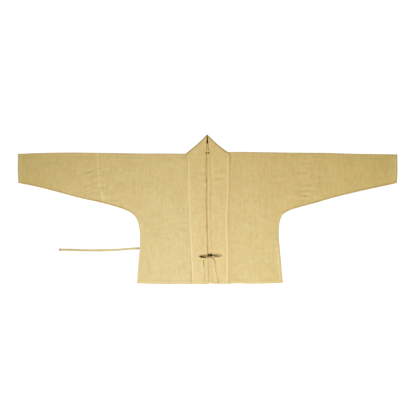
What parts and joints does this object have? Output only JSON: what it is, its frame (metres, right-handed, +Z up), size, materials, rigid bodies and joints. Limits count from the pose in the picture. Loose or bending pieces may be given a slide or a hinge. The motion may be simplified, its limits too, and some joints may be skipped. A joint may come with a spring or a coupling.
{
  "type": "hanfu jacket",
  "caption": "Short hanfu jacket with a straight collar, long tapered sleeves and cloth ties, laid flat with its front up and its front ties in a bow.",
  "frame": {"origin": "on the surface the jacket lies on, under the middle of its outline from cuff to cuff and from hem to collar peak", "axes": "+X along the sleeves towards the wearer's left cuff, +Y from the hem to the collar peak, +Z up out of the jacket's front"},
  "size_m": [1.8, 0.7084, 0.0134],
  "materials": {
    "cloth": "matte plain-woven ramie in straw gold",
    "band_cloth": "matte plain-woven ramie in straw gold, folded double",
    "tie_cloth": "matte plain-woven ramie in straw gold, narrow tape"
  },
  "bodies": {
    "root": {"body_right": "cloth", "body_left": "cloth", "sleeve_right": "cloth", "sleeve_left": "cloth", "collar": "band_cloth", "tie_knot": "tie_cloth", "tie_loop_right": "tie_cloth", "tie_loop_left": "tie_cloth", "tie_tail_right": "tie_cloth", "tie_tail_left": "tie_cloth", "tie_side": "tie_cloth"}
  },
  "joints": []
}
